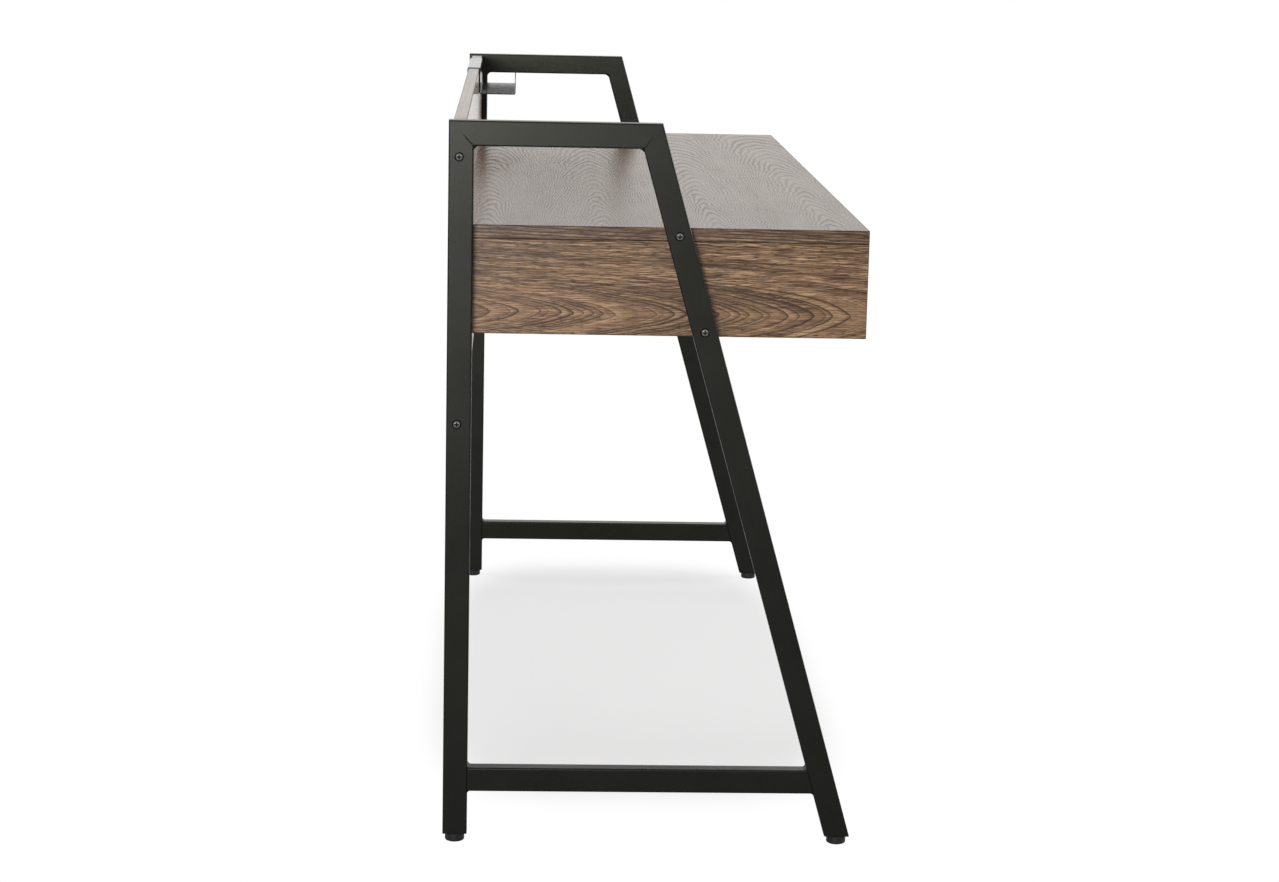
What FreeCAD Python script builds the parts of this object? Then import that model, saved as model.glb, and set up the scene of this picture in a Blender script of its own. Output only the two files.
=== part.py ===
import FreeCAD, Part
import os
import re
import Sketcher
from FreeCAD import Placement, Rotation, Vector

# A writing desk: a shallow box with two drawers hangs between two steel side frames with leaning
# front legs, with a back panel above it, a back board below it and a tray hooked over the panel.
# X runs along the desk (right is +X), Y from front (-Y) to back (+Y), Z up from the floor.
# Every length is in millimetres. The origin is on the floor, in the middle of the desk.

sizes = {
    # whole desk
    "desk_length": 1400,
    "desk_depth": 505,
    "desk_height": 889,
    "panel_rise": 125,
    "foot_height": 10,
    # steel tube of the side frames
    "tube_width": 30,
    "tube_depth": 20,
    "tube_wall": 1.5,
    "tube_round": 2,
    "top_rail_length": 253,
    "bottom_rail_height": 65,
    # boards
    "board": 16,
    "board_round": 0.6,
    "box_height": 131,
    "back_setback": 4.7,
    "panel_drop": 3,
    "lower_board_hang": 252,
    # leg plugs and levelling feet
    "plug_length": 25,
    "plug_gap": 0.1,
    "foot_radius": 12,
    "foot_round": 2.2,
    "foot_chamfer": 0.8,
    "foot_gap": 0.3,
    "stem_radius": 4,
    "stem_length": 20,
    "stem_gap": 0.05,
    # screws that hold the boards to the frames
    "screw_head_radius": 5.5,
    "screw_rim": 0.8,
    "screw_dome": 2.4,
    "screw_radius": 2.5,
    "screw_grip": 25,
    "screw_gap": 0.1,
    "cross_width": 1.8,
    "cross_span": 5.8,
    "cross_depth": 1.7,
    "upper_screw_drop": 43,
    "lower_screw_up": 13,
    # dowels and cam fittings
    "dowel_radius": 4,
    "dowel_into_edge": 20,
    "dowel_into_face": 10,
    "fitting_gap": 0.1,
    "cam_radius": 7.5,
    "cam_thickness": 12.5,
    "cam_down": 34,
    "bolt_radius": 3.5,
    "bolt_into_face": 10,
    "edge_margin": 45,
    "cam_margin": 30,
    # drawers
    "front_gap": 2.5,
    "drawer_board": 12,
    "drawer_side_height": 70,
    "drawer_lift": 8,
    "drawer_rear_gap": 48.3,
    "drawer_floor": 5,
    "groove_depth": 5,
    "groove_up": 8,
    "groove_gap": 0.1,
    "notch_width": 110,
    "notch_depth": 24,
    "notch_round": 11,
    "drawer_screw_radius": 2,
    "drawer_screw_head": 3.6,
    "drawer_screw_cap": 1.5,
    "drawer_screw_length": 40,
    "drawer_screw_margin": 16,
    "drawer_dowel_radius": 3,
    "drawer_dowel_into_front": 10,
    "drawer_dowel_into_side": 20,
    # drawer slides
    "rail_rear_gap": 66.3,
    "rail_height": 35,
    "rail_space": 12.7,
    "rail_sheet": 1.2,
    "rail_reach": 9.5,
    "inner_flange_share": 0.67,
    "inner_rail_height": 20,
    "rail_front_inset": 18,
    "rail_level": 33,
    "rail_overlap": 110,
    "cage_sheet": 0.6,
    "cage_margin": 3,
    "cage_gap": 0.5,
    "ball_gap": 0.05,
    "ball_play": 0.25,
    "ball_pitch": 19,
    "ball_count": 5,
    "rail_screw_radius": 1.75,
    "rail_screw_head": 3.3,
    "rail_screw_cap": 1.6,
    "rail_screw_length": 8,
    "rail_screw_margin": 32,
    # hooked tray
    "tray_end_gap": 97,
    "tray_length": 250,
    "tray_sheet": 1.5,
    "tray_gap": 0.5,
    "tray_seat": 0.2,
    "tray_lip_down": 22,
    "tray_drop": 39,
    "tray_reach": 56,
    "tray_lip_up": 17,
    "tray_bend": 2.5,
    # all cuts
    "overrun": 5,
}

# Places that several pieces share, each worked out from the sizes above.
places = {
    "inner_end": "desk_length / 2 - tube_depth",
    "desktop_height": "desk_height - panel_rise",
    "rear_face": "desk_depth / 2",
    "front_face": "-desk_depth / 2",
    "lean": "(desk_depth - top_rail_length) / (desk_height - foot_height)",
    "stretch": "sqrt(1 + lean * lean)",
    "leg_across": "tube_width * stretch",
    "back_rear": "rear_face - back_setback",
    "back_front": "back_rear - board",
    "back_middle": "back_rear - board / 2",
    "desktop_under": "desktop_height - board",
    "box_under": "desktop_height - box_height",
    "box_floor": "box_under + board",
    "panel_top": "desk_height - panel_drop",
    "lower_board_height": "desktop_height - lower_board_hang",
    "upper_screw_height": "desk_height - upper_screw_drop",
    "lower_screw_height": "lower_board_height + lower_screw_up",
    "side_inner": "inner_end - board",
    "front_screw_height": "desktop_height - board / 2",
    "floor_screw_height": "box_under + board / 2",
    "drawer_under": "box_floor + drawer_lift",
    "drawer_top": "drawer_under + drawer_side_height",
    "drawer_rear": "back_front - drawer_rear_gap",
    "rail_front": "front_face + rail_front_inset",
    "rail_rear": "back_front - rail_rear_gap",
    "rail_length": "rail_rear - rail_front",
    "slide_travel": "rail_length - rail_overlap",
    "rail_middle": "box_floor + rail_level",
    "cage_length": "rail_length - slide_travel - 2 * cage_margin",
    "cage_front": "rail_front + slide_travel / 2 + cage_margin",
    "cage_web": "rail_sheet + rail_screw_cap + cage_gap",
    "ball_room": "rail_height / 2 - rail_sheet - inner_rail_height / 2",
    "ball_radius": "ball_room / 2 - ball_gap",
    "ball_level": "inner_rail_height / 2 + ball_room / 2",
    "ball_side": "cage_web + cage_sheet + ball_play + ball_radius",
    "front_seam": "front_face + board",
    "cam_height": "desktop_under - cam_down",
    "tray_start": "inner_end - tray_end_gap - tray_length",
    "tray_back": "back_rear + tray_gap",
    "tray_face": "back_front - tray_gap",
    "tray_top": "panel_top + tray_seat + tray_sheet",
}

doc = FreeCAD.newDocument("desk")
sheet = doc.addObject("Spreadsheet::Sheet", "Sizes")
for row, (alias, value) in enumerate(sizes.items(), start=1):
    sheet.set("A%d" % row, alias)
    sheet.set("B%d" % row, str(value))
    sheet.setAlias("B%d" % row, alias)
doc.recompute()

nodes = {}


def bound(text):
    """The formula with each place written out and each size pointed at its cell."""
    def swap(match):
        word = match.group(0)
        if word in places:
            return "(" + bound(places[word]) + ")"
        return "Sizes." + word if word in sizes else word
    return re.sub(r"[a-z_]+", swap, str(text))


def number(text):
    """The value of a formula now."""
    return float(sheet.evalExpression(bound(text)))


def settle(feature):
    doc.recompute()
    if "Invalid" in feature.State or "Error" in feature.State or feature.Shape.isNull():
        raise RuntimeError("failed: " + feature.Name)
    return feature


def keep(name, thing):
    thing.Label = name
    nodes[name] = thing
    return thing


# Helpers for bodies made of sketches

def new_body(name):
    return keep(name, doc.addObject("PartDesign::Body", name))


def new_sketch(body, plane, offset):
    sketch = body.newObject("Sketcher::SketchObject", body.Name + "_sketch")
    support = [part for part in body.Origin.OriginFeatures if part.Role == plane][0]
    sketch.AttachmentSupport = [(support, "")]
    sketch.MapMode = "FlatFace"
    sketch.setExpression("AttachmentOffset.Base.z", bound(offset))
    return sketch


def pin_point(sketch, shape, point, across, up):
    for kind, text in (("DistanceX", across), ("DistanceY", up)):
        rule = Sketcher.Constraint(kind, -1, 1, shape, point, number(text))
        sketch.setExpression("Constraints[%d]" % sketch.addConstraint(rule), bound(text))


def polygon(body, plane, offset, corners):
    sketch = new_sketch(body, plane, offset)
    spots = [Vector(number(across), number(up), 0) for across, up in corners]
    count = len(spots)
    for place in range(count):
        sketch.addGeometry(Part.LineSegment(spots[place], spots[(place + 1) % count]), False)
    for place in range(count):
        sketch.addConstraint(Sketcher.Constraint("Coincident", place, 2, (place + 1) % count, 1))
    for place, (across, up) in enumerate(corners):
        pin_point(sketch, place, 1, across, up)
    return sketch


def circles(body, plane, offset, centres, radius):
    sketch = new_sketch(body, plane, offset)
    for place, (across, up) in enumerate(centres):
        middle = Vector(number(across), number(up), 0)
        sketch.addGeometry(Part.Circle(middle, Vector(0, 0, 1), number(radius)), False)
        pin_point(sketch, place, 3, across, up)
        rule = Sketcher.Constraint("Radius", place, number(radius))
        sketch.setExpression("Constraints[%d]" % sketch.addConstraint(rule), bound(radius))
    return sketch


def pad(body, sketch, length, backwards=False):
    feature = body.newObject("PartDesign::Pad", body.Name + "_pad")
    feature.Profile = sketch
    feature.setExpression("Length", bound(length))
    feature.Reversed = backwards
    return settle(feature)


def cut(body, sketch, depth, forwards):
    """Cuts from the sketch along its normal, or against it, and checks that material went."""
    before = body.Shape.Volume
    feature = body.newObject("PartDesign::Pocket", body.Name + "_pocket")
    feature.Profile = sketch
    feature.setExpression("Length", bound(depth))
    feature.Reversed = forwards
    settle(feature)
    if not feature.Shape.Volume < before:
        raise RuntimeError("cut nothing: " + feature.Name)
    return feature


def dress(body, kind, value, size, wanted):
    """Rounds or bevels the edges of the body that the function wanted picks."""
    base = body.Tip
    picked = ["Edge%d" % place for place, edge in enumerate(base.Shape.Edges, start=1) if wanted(edge)]
    feature = body.newObject("PartDesign::" + kind, body.Name + "_" + kind.lower())
    feature.Base = (base, picked)
    feature.setExpression(value, bound(size))
    return settle(feature)


def rounded(body, radius, wanted):
    return dress(body, "Fillet", "Radius", radius, wanted)


def every_edge(edge):
    return True


def rectangle(left, right, low, high):
    return [(left, low), (right, low), (right, high), (left, high)]


def board(name, across, deep, high, radius="board_round"):
    """A flat board between two values of X, of Y and of Z, with its edges just broken."""
    body = new_body(name)
    outline = polygon(body, "XY_Plane", high[0], rectangle(across[0], across[1], deep[0], deep[1]))
    pad(body, outline, "(%s) - (%s)" % (high[1], high[0]))
    rounded(body, radius, every_edge)
    return body


def bore(body, plane, offset, centres, radius, depth, forwards):
    return cut(body, circles(body, plane, offset, centres, radius), depth, forwards)


# Helpers for pieces made of primitives

def put(thing, spot, turn=None):
    if turn is not None:
        thing.Placement = Placement(Vector(), turn)
    for axis, text in zip("xyz", spot):
        thing.setExpression("Placement.Base." + axis, bound(text))
    return thing


def primitive(kind, name, spot, turn=None, **measures):
    thing = doc.addObject("Part::" + kind, name)
    for measure, text in measures.items():
        thing.setExpression(measure, bound(text))
    return put(thing, spot, turn)


def joined(kind, name, pieces):
    thing = doc.addObject("Part::" + kind, name)
    thing.Shapes = pieces
    return thing


def group(name, pieces):
    thing = keep(name, doc.addObject("Part::Compound", name))
    thing.Links = pieces
    return settle(thing)


def shifted(text, step):
    return "(%s) + (%s)" % (text, step)


to_right = Rotation(Vector(0, 1, 0), 90)
to_left = Rotation(Vector(0, 1, 0), -90)
to_front = Rotation(Vector(1, 0, 0), 90)

# Sides of the desk: name, start of the frame's tube in X, which way is outwards

sides = (
    ("left", "-desk_length / 2", -1),
    ("right", "desk_length / 2 - tube_depth", 1),
)


# Side frames

def leg_line(height):
    """Y of the leaning leg's outer edge at a height."""
    return "rear_face - top_rail_length - lean * (desk_height - (%s))" % height


def leg_inside(height):
    return shifted(leg_line(height), "leg_across")


def leg_middle(height):
    return shifted(leg_line(height), "leg_across / 2")


def tube(name, start, corners, hollow, direction):
    """A tube cut to its corners, rounded along its length, with its hollow running out of both ends."""
    body = new_body(name)
    pad(body, polygon(body, "YZ_Plane", start, corners), "tube_depth")

    def along(edge):
        return abs(edge.tangentAt(edge.FirstParameter).normalize().dot(direction)) > 0.9999
    rounded(body, "tube_round", along)
    inside = polygon(body, "YZ_Plane", shifted(start, "tube_wall"), hollow)
    cut(body, inside, "tube_depth - 2 * tube_wall", True)
    return body


def rear_leg(side, start):
    mitre = "desk_height - tube_width"
    corners = [
        ("rear_face", "foot_height"),
        ("rear_face", "desk_height"),
        ("rear_face - tube_width", mitre),
        ("rear_face - tube_width", "foot_height"),
    ]
    inner = "rear_face - tube_width + tube_wall"
    hollow = rectangle(inner, "rear_face - tube_wall", "foot_height - overrun", "desk_height + overrun")
    body = tube(side + "_rear_leg", start, corners, hollow, Vector(0, 0, 1))
    centres = [("back_middle", "upper_screw_height"), ("back_middle", "lower_screw_height")]
    bore(body, "YZ_Plane", start, centres, "screw_radius + screw_gap", "tube_depth", True)


def front_leg(side, start):
    mitre = "desk_height - tube_width"
    corners = [
        (leg_line("foot_height"), "foot_height"),
        (leg_inside("foot_height"), "foot_height"),
        (leg_inside(mitre), mitre),
        (leg_line("desk_height"), "desk_height"),
    ]
    low = "foot_height - overrun"
    high = "desk_height + overrun"
    wall = "tube_wall * stretch"
    hollow = [
        (shifted(leg_line(low), wall), low),
        (shifted(leg_inside(low), "-" + wall), low),
        (shifted(leg_inside(high), "-" + wall), high),
        (shifted(leg_line(high), wall), high),
    ]
    run = Vector(0, number("lean"), 1).normalize()
    body = tube(side + "_front_leg", start, corners, hollow, run)
    heights = ("front_screw_height", "floor_screw_height")
    centres = [(leg_middle(height), height) for height in heights]
    bore(body, "YZ_Plane", start, centres, "screw_radius + screw_gap", "tube_depth", True)


def top_rail(side, start):
    mitre = "desk_height - tube_width"
    corners = [
        ("rear_face", "desk_height"),
        (leg_line("desk_height"), "desk_height"),
        (leg_inside(mitre), mitre),
        ("rear_face - tube_width", mitre),
    ]
    hollow = rectangle(
        shifted(leg_line("desk_height"), "-overrun"), "rear_face + overrun",
        "desk_height - tube_width + tube_wall", "desk_height - tube_wall")
    tube(side + "_top_rail", start, corners, hollow, Vector(0, 1, 0))


def bottom_rail(side, start):
    low = "bottom_rail_height"
    high = "bottom_rail_height + tube_width"
    rear = "rear_face - tube_width"
    corners = [(rear, low), (rear, high), (leg_inside(high), high), (leg_inside(low), low)]
    hollow = rectangle(
        shifted(leg_inside(low), "-overrun"), rear + " + overrun",
        low + " + tube_wall", high + " - tube_wall")
    tube(side + "_bottom_rail", start, corners, hollow, Vector(0, 1, 0))


def leg_plug(name, start, line, across, middle):
    """Fills the open end of a leg and holds the foot's stem."""
    low = "foot_height"
    high = "foot_height + plug_length"
    inset = "(tube_wall + plug_gap) * %s" % across
    corners = [
        (shifted(line(low), inset), low),
        (shifted(line(low), "tube_width * %s - %s" % (across, inset)), low),
        (shifted(line(high), "tube_width * %s - %s" % (across, inset)), high),
        (shifted(line(high), inset), high),
    ]
    body = new_body(name)
    inside = polygon(body, "YZ_Plane", shifted(start, "tube_wall + plug_gap"), corners)
    pad(body, inside, "tube_depth - 2 * tube_wall - 2 * plug_gap")
    centre = [(shifted(start, "tube_depth / 2"), middle)]
    bore(body, "XY_Plane", low, centre, "stem_radius + stem_gap", "stem_length + overrun / 2", True)


def levelling_foot(name, start, middle):
    """A round foot on a threaded stem, screwed up to just below its leg."""
    body = new_body(name)
    centre = [(shifted(start, "tube_depth / 2"), middle)]
    disc = "foot_height - foot_gap"
    pad(body, circles(body, "XY_Plane", "0", centre, "foot_radius"), disc)

    def bottom(edge):
        return edge.BoundBox.ZMax < number("foot_height / 2")

    def top(edge):
        return edge.BoundBox.ZMin > number("foot_height / 2")
    rounded(body, "foot_round", bottom)
    dress(body, "Chamfer", "Size", "foot_chamfer", top)
    pad(body, circles(body, "XY_Plane", disc, centre, "stem_radius"), "foot_gap + stem_length")


def rear_line(height):
    return "rear_face - tube_width"


def frame_screw(name, outwards, middle, height, grip):
    """A domed screw with a cross recess, through the tube into the end of a board."""
    turn = to_right if outwards > 0 else to_left
    face = "%d * desk_length / 2" % outwards
    crown = "%s + %d * (screw_rim + screw_dome)" % (face, outwards)
    ball = "(screw_head_radius * screw_head_radius + screw_dome * screw_dome) / (2 * screw_dome)"
    head = primitive(
        "Cylinder", name + "_rim", (face, middle, height), turn,
        Radius="screw_head_radius", Height="screw_rim + screw_dome")
    dome = primitive(
        "Sphere", name + "_dome",
        ("%s - %d * (%s)" % (crown, outwards, ball), middle, height), Radius=ball)
    crown_shape = joined("MultiCommon", name + "_head", [head, dome])
    shank = primitive(
        "Cylinder", name + "_shank",
        ("%s - %d * (tube_depth + %s)" % (face, outwards, grip), middle, height), turn,
        Radius="screw_radius", Height="tube_depth + " + grip)
    whole = joined("MultiFuse", name + "_whole", [crown_shape, shank])
    recess = []
    lowest = "(%s) - %s" % (crown, "cross_depth" if outwards > 0 else "overrun")
    for arm, (wide, tall) in enumerate((("cross_width", "cross_span"), ("cross_span", "cross_width"))):
        corner = (lowest, shifted(middle, "-(%s) / 2" % wide), shifted(height, "-(%s) / 2" % tall))
        recess.append(primitive(
            "Box", "%s_arm_%d" % (name, arm), corner,
            Length="cross_depth + overrun", Width=wide, Height=tall))
    finished = doc.addObject("Part::Cut", name)
    finished.Base = whole
    finished.Tool = joined("MultiFuse", name + "_recess", recess)
    return finished


def side_frame(side, start, outwards):
    rear_leg(side, start)
    front_leg(side, start)
    top_rail(side, start)
    bottom_rail(side, start)
    rear_middle = "rear_face - tube_width / 2"
    front_middle = leg_middle("foot_height")
    leg_plug(side + "_rear_leg_plug", start, rear_line, "1", rear_middle)
    leg_plug(side + "_front_leg_plug", start, leg_line, "stretch", front_middle)
    levelling_foot(side + "_rear_foot", start, rear_middle)
    levelling_foot(side + "_front_foot", start, front_middle)
    spots = (
        ("back_middle", "upper_screw_height", "screw_grip"),
        ("back_middle", "lower_screw_height", "screw_grip"),
        (leg_middle("front_screw_height"), "front_screw_height", "screw_grip"),
        (leg_middle("floor_screw_height"), "floor_screw_height", "board + screw_grip"),
    )
    screws = []
    for place, (middle, height, grip) in enumerate(spots):
        screws.append(frame_screw("%s_screw_%d" % (side, place), outwards, middle, height, grip))
    group(side + "_frame_screws", screws)


for side, start, outwards in sides:
    side_frame(side, start, outwards)

# Where dowels, cams and screws go in the boards

side_middle = "inner_end - board / 2"
seam_rows = [shifted("front_face", "edge_margin"), "edge_margin", "back_front - edge_margin"]
cam_rows = [shifted(row, "cam_margin") for row in (seam_rows[0], seam_rows[2])]
panel_dowel_shares = (-0.9, -0.3, 0.3, 0.9)
panel_spots = [("%g * inner_end" % share, "back_middle") for share in panel_dowel_shares]
upright_middles = {"left_side": "-(%s)" % side_middle, "centre": "0", "right_side": side_middle}
upright_spots = [(middle, row) for middle in upright_middles.values() for row in seam_rows]
cam_spots = [(middle, row) for middle in upright_middles.values() for row in cam_rows]
screw_hole = "screw_radius + screw_gap"
dowel_hole = "dowel_radius + fitting_gap"
bolt_hole = "bolt_radius + fitting_gap"


def end_holes(body, offset, centres, depth, forwards):
    bore(body, "YZ_Plane", offset, centres, screw_hole, depth, forwards)


def both_ends(body, end, centres, depth):
    end_holes(body, "-(%s)" % end, centres, depth, True)
    end_holes(body, end, centres, depth, False)


def desktop():
    body = board(
        "desktop", ("-inner_end", "inner_end"), ("front_face", "back_rear"),
        ("desktop_under", "desktop_height"))
    both_ends(body, "inner_end", [(leg_middle("front_screw_height"), "front_screw_height")], "screw_grip")
    under = upright_spots + panel_spots
    bore(body, "XY_Plane", "desktop_under", under, dowel_hole, "dowel_into_face", True)
    bore(body, "XY_Plane", "desktop_height", panel_spots, dowel_hole, "dowel_into_face / 2", False)
    bore(body, "XY_Plane", "desktop_under", cam_spots, bolt_hole, "bolt_into_face", True)


def back_boards():
    upper = board(
        "upper_back_panel", ("-inner_end", "inner_end"), ("back_front", "back_rear"),
        ("desktop_height", "panel_top"))
    both_ends(upper, "inner_end", [("back_middle", "upper_screw_height")], "screw_grip")
    bore(upper, "XY_Plane", "desktop_height", panel_spots, dowel_hole, "dowel_into_edge", True)
    lower = board(
        "lower_back_board", ("-inner_end", "inner_end"), ("back_front", "back_rear"),
        ("lower_board_height", "desktop_under"))
    both_ends(lower, "inner_end", [("back_middle", "lower_screw_height")], "screw_grip")
    bore(lower, "XY_Plane", "desktop_under", panel_spots, dowel_hole, "dowel_into_edge", False)


def upright_holes(body, middle, cam_face, cuts_forwards):
    """Dowel holes and cam bolt ways down from the top edge, and cam seats in one face."""
    spots = [(middle, row) for row in seam_rows]
    bore(body, "XY_Plane", "desktop_under", spots, dowel_hole, "dowel_into_edge", False)
    ways = [(middle, row) for row in cam_rows]
    bore(body, "XY_Plane", "desktop_under", ways, bolt_hole, "cam_down", False)
    seats = [(row, "cam_height") for row in cam_rows]
    bore(body, "YZ_Plane", cam_face, seats, "cam_radius + fitting_gap", "cam_thickness", cuts_forwards)


def uprights():
    for side, start, outwards in sides:
        inner = "%d * side_inner" % outwards
        outer = "%d * inner_end" % outwards
        across = (outer, inner) if outwards < 0 else (inner, outer)
        body = board(
            side + "_side_panel", across, ("front_face", "back_front"), ("box_under", "desktop_under"))
        upright_holes(body, upright_middles[side + "_side"], inner, outwards > 0)
        hole = [(leg_middle("floor_screw_height"), "floor_screw_height")]
        end_holes(body, outer, hole, "board", outwards < 0)
    divider = board(
        "centre_divider", ("-board / 2", "board / 2"), ("front_face", "back_front"),
        ("box_floor", "desktop_under"))
    upright_holes(divider, "0", "board / 2", False)


def bottom_panel():
    body = board(
        "bottom_panel", ("-side_inner", "side_inner"), ("front_face", "back_front"),
        ("box_under", "box_floor"))
    both_ends(body, "side_inner", [(leg_middle("floor_screw_height"), "floor_screw_height")], "screw_grip")


def upright_pin(name, spot, low, high, radius):
    return primitive(
        "Cylinder", name, (spot[0], spot[1], low), Radius=radius, Height="(%s) - (%s)" % (high, low))


def fittings():
    """Dowels across the seams of the desktop, and cams with their bolts."""
    dowels = []
    for place, spot in enumerate(upright_spots + panel_spots):
        dowels.append(upright_pin(
            "dowel_%d" % place, spot, "desktop_under - dowel_into_edge",
            "desktop_under + dowel_into_face", "dowel_radius"))
    for place, spot in enumerate(panel_spots):
        dowels.append(upright_pin(
            "panel_dowel_%d" % place, spot, "desktop_height - dowel_into_face / 2",
            "desktop_height + dowel_into_edge", "dowel_radius"))
    group("board_dowels", dowels)
    bolts = []
    cams = []
    for place, spot in enumerate(cam_spots):
        bolts.append(upright_pin(
            "bolt_%d" % place, spot, "cam_height + cam_radius", "desktop_under + bolt_into_face",
            "bolt_radius"))
        middle, row = spot
        faces_left = place >= len(cam_rows) * 2
        face = "side_inner" if faces_left else "-side_inner"
        if len(cam_rows) <= place < len(cam_rows) * 2:
            face = "board / 2"
        turn = to_right if faces_left else to_left
        cams.append(primitive(
            "Cylinder", "cam_%d" % place, (face, row, "cam_height"), turn,
            Radius="cam_radius", Height="cam_thickness"))
    group("cam_bolts", bolts)
    group("cam_locks", cams)


desktop()
back_boards()
uprights()
bottom_panel()
fittings()

# Bays of the drawers: name, left wall and right wall in X

bays = (
    ("left", "-side_inner", "-board / 2"),
    ("right", "board / 2", "side_inner"),
)


# Drawer slides

def mirrored(wall, inwards, reach):
    """X at a distance from a bay's wall, measured towards the drawer."""
    return "(%s) + %d * (%s)" % (wall, inwards, reach)


def channel(name, wall, inwards, web, tip, height, front):
    """A channel section along Y: its web between two distances from the wall, its flanges to a tip."""
    near, far = web
    half = "(%s) / 2" % height
    top = "rail_middle + " + half
    low = "rail_middle - " + half
    shape = [
        (near, low), (tip, low), (tip, low + " + rail_sheet"), (far, low + " + rail_sheet"),
        (far, top + " - rail_sheet"), (tip, top + " - rail_sheet"), (tip, top), (near, top),
    ]
    corners = [(mirrored(wall, inwards, across), up) for across, up in shape]
    body = new_body(name)
    pad(body, polygon(body, "XZ_Plane", "-(%s)" % front, corners), "rail_length", True)
    return body


def rail_screw_rows():
    return ["rail_front + rail_screw_margin", "rail_rear - rail_screw_margin"]


def rail_holes(body, face, forwards, depth):
    centres = [(row, "rail_middle") for row in rail_screw_rows()]
    bore(body, "YZ_Plane", face, centres, "rail_screw_radius + fitting_gap", depth, forwards)


def slide_rails(stem, wall, inwards):
    outer = channel(
        stem + "_cabinet_rail", wall, inwards, ("0", "rail_sheet"), "rail_reach", "rail_height",
        "rail_front")
    rail_holes(outer, wall, inwards > 0, "rail_sheet")
    tip = "ball_side - ball_radius * inner_flange_share"
    inner = channel(
        stem + "_drawer_rail", wall, inwards, ("rail_space", "rail_space - rail_sheet"), tip,
        "inner_rail_height", "rail_front")
    rail_holes(inner, mirrored(wall, inwards, "rail_space"), inwards < 0, "rail_sheet")


def ball_cage(stem, wall, inwards):
    """A bent strip that spaces two rows of balls between the rails."""
    near = "cage_web"
    far = "rail_space - rail_sheet - cage_gap"
    top = "rail_middle + ball_level + cage_sheet / 2"
    low = "rail_middle - ball_level - cage_sheet / 2"
    shape = [
        (near, low), (far, low), (far, low + " + cage_sheet"),
        (near + " + cage_sheet", low + " + cage_sheet"), (near + " + cage_sheet", top + " - cage_sheet"),
        (far, top + " - cage_sheet"), (far, top), (near, top),
    ]
    corners = [(mirrored(wall, inwards, across), up) for across, up in shape]
    strip = doc.addObject("PartDesign::Body", stem + "_cage_strip")
    pad(strip, polygon(strip, "XZ_Plane", "-cage_front", corners), "cage_length", True)
    middle = "cage_front + cage_length / 2"
    span = "ball_pitch * (ball_count - 1)"
    across = mirrored(wall, inwards, "ball_side")
    first = "%s - %s / 2" % (middle, span)
    hole = cut(
        strip, circles(strip, "XY_Plane", low, [(across, first)], "ball_radius + fitting_gap"),
        "rail_height", True)
    row = strip.newObject("PartDesign::LinearPattern", strip.Name + "_row")
    row.Originals = [hole]
    row.Direction = (hole.Profile[0], ["V_Axis"])
    row.setExpression("Length", bound(span))
    row.setExpression("Occurrences", bound("ball_count"))
    strip.Tip = row
    settle(row)
    balls = []
    for level, sign in (("top", 1), ("low", -1)):
        for place in range(int(number("ball_count"))):
            spot = (across, "%s + ball_pitch * %d" % (first, place), "rail_middle + %d * ball_level" % sign)
            name = "%s_%s_ball_%d" % (stem, level, place)
            balls.append(primitive("Sphere", name, spot, Radius="ball_radius"))
    group(stem + "_ball_cage", [strip] + balls)


def rail_screw(name, face, inwards, row):
    """A low screw from the channel, through the web and into the board behind the face."""
    turn = to_right if inwards > 0 else to_left
    cap = primitive(
        "Cylinder", name + "_cap",
        (mirrored(face, inwards, "rail_sheet"), row, "rail_middle"), turn,
        Radius="rail_screw_head", Height="rail_screw_cap")
    shank = primitive(
        "Cylinder", name + "_shank",
        (mirrored(face, inwards, "rail_sheet - rail_screw_length"), row, "rail_middle"), turn,
        Radius="rail_screw_radius", Height="rail_screw_length")
    return joined("MultiFuse", name, [cap, shank])


def pilot_holes(name, face, forwards):
    rail_holes(nodes[name], face, forwards, "rail_screw_length - rail_sheet")


def slides():
    cabinet_screws = []
    for bay, left_wall, right_wall in bays:
        for end, wall, inwards in (("left", left_wall, 1), ("right", right_wall, -1)):
            stem = "%s_drawer_%s" % (bay, end)
            slide_rails(stem, wall, inwards)
            ball_cage(stem, wall, inwards)
            for place, row in enumerate(rail_screw_rows()):
                cabinet_screws.append(rail_screw("%s_screw_%d" % (stem, place), wall, inwards, row))
    group("cabinet_rail_screws", cabinet_screws)
    pilot_holes("left_side_panel", "-side_inner", False)
    pilot_holes("right_side_panel", "side_inner", True)
    centres = [(row, "rail_middle") for row in rail_screw_rows()]
    bore(
        nodes["centre_divider"], "YZ_Plane", "-board / 2", centres,
        "rail_screw_radius + fitting_gap", "board", True)


slides()


# Drawers

def drawer_front(name, left, right):
    """An inset front with a finger notch in its top edge."""
    low = "box_floor + front_gap"
    high = "desktop_under - front_gap"
    middle = "((%s) + (%s)) / 2" % (left, right)
    body = board(
        name, (left + " + front_gap", right + " - front_gap"), ("front_face", "front_seam"), (low, high))
    notch = rectangle(
        middle + " - notch_width / 2", middle + " + notch_width / 2",
        high + " - notch_depth", high + " + overrun")
    cut(body, polygon(body, "XZ_Plane", "-front_seam", notch), "board", True)
    bottom = number(high) - number("notch_depth")

    def lower_corner(edge):
        box = edge.BoundBox
        return box.YLength > number("board / 2") and abs(box.ZMax - bottom) < number("board_round / 2")
    rounded(body, "notch_round", lower_corner)
    return body


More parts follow.
